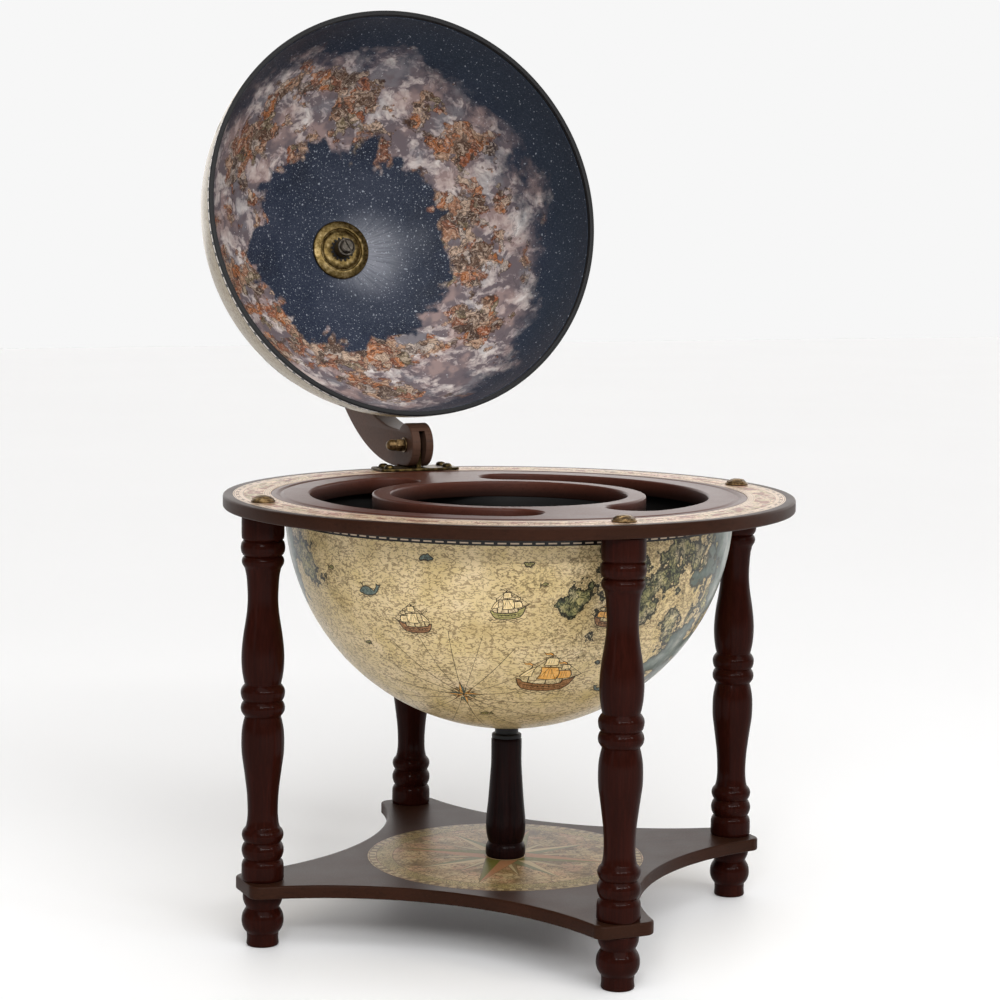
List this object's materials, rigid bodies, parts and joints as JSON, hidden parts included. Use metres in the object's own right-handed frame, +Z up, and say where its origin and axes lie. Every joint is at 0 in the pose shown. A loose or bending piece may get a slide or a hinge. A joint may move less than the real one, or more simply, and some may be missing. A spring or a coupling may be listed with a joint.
{
  "type": "floor globe bar",
  "caption": "Free-standing globe drinks cabinet: a half globe under a round board holds bottles and glasses, and the upper half tips back on a hinged arm.",
  "frame": {"origin": "on the floor, under the middle of the object's bounding box with the lid fully open", "axes": "+Z up; +Y from the bar's middle toward the hinge and the back leg; +X toward the right leg, along the hinge pin"},
  "size_m": [0.42, 0.6237, 0.688],
  "materials": {
    "board_wood": "satin red-brown stain",
    "leg_wood": "satin dark red-brown stain",
    "band_print": "varnished print",
    "compass_print": "varnished print",
    "globe_print": "varnished antique map print on a moulded shell",
    "lining_print": "varnished sky print",
    "black_trim": "matte black",
    "brass": "antique, hammered",
    "steel": "plain"
  },
  "bodies": {
    "stand": {"horizon_ring": "board_wood", "bottle_plate": "board_wood", "bottle_base": "board_wood", "lower_shelf": "board_wood", "pillar": "leg_wood", "leg_front": "leg_wood", "leg_back": "leg_wood", "leg_left": "leg_wood", "leg_right": "leg_wood", "foot_front": "leg_wood", "foot_back": "leg_wood", "foot_left": "leg_wood", "foot_right": "leg_wood", "horizon_band_print": "band_print", "shelf_compass_print": "compass_print", "lower_hemisphere": "globe_print", "pillar_collar": "black_trim", "hinge_bracket": "brass", "bracket_screw_left_inner": "brass", "bracket_screw_left_outer": "brass", "bracket_screw_right_inner": "brass", "bracket_screw_right_outer": "brass", "cap_nut_front": "brass", "cap_nut_left": "brass", "cap_nut_right": "brass", "pillar_bolt": "steel", "pillar_washer": "steel", "pillar_base_screw": "steel", "foot_stud_front": "steel", "foot_stud_back": "steel", "foot_stud_left": "steel", "foot_stud_right": "steel", "leg_bolt_front": "steel", "leg_bolt_back": "steel", "leg_bolt_left": "steel", "leg_bolt_right": "steel"},
    "lid_arm": {"meridian_arm": "board_wood", "hinge_bolt": "brass", "hinge_washer": "brass", "hinge_cap_nut": "brass", "pole_spacer": "brass", "pole_cap_nut": "brass", "pole_screw": "brass", "pole_collar": "black_trim"},
    "lid": {"upper_hemisphere": "globe_print", "lid_lining": "lining_print", "lid_rim_trim": "black_trim", "pole_rosette": "brass", "star_washer": "black_trim"}
  },
  "joints": [
    {"name": "lid_hinge", "type": "hinge", "parent": "stand", "child": "lid_arm", "pos_m": [0, 0.08395, 0.3399], "axis": [1, 0, 0], "range_deg": [0, 102.1]},
    {"name": "lid_spin", "type": "hinge", "parent": "lid_arm", "child": "lid", "pos_m": [0, 0.10386, 0.52567], "axis": [0, 0.9776, -0.2103], "continuous": true}
  ]
}
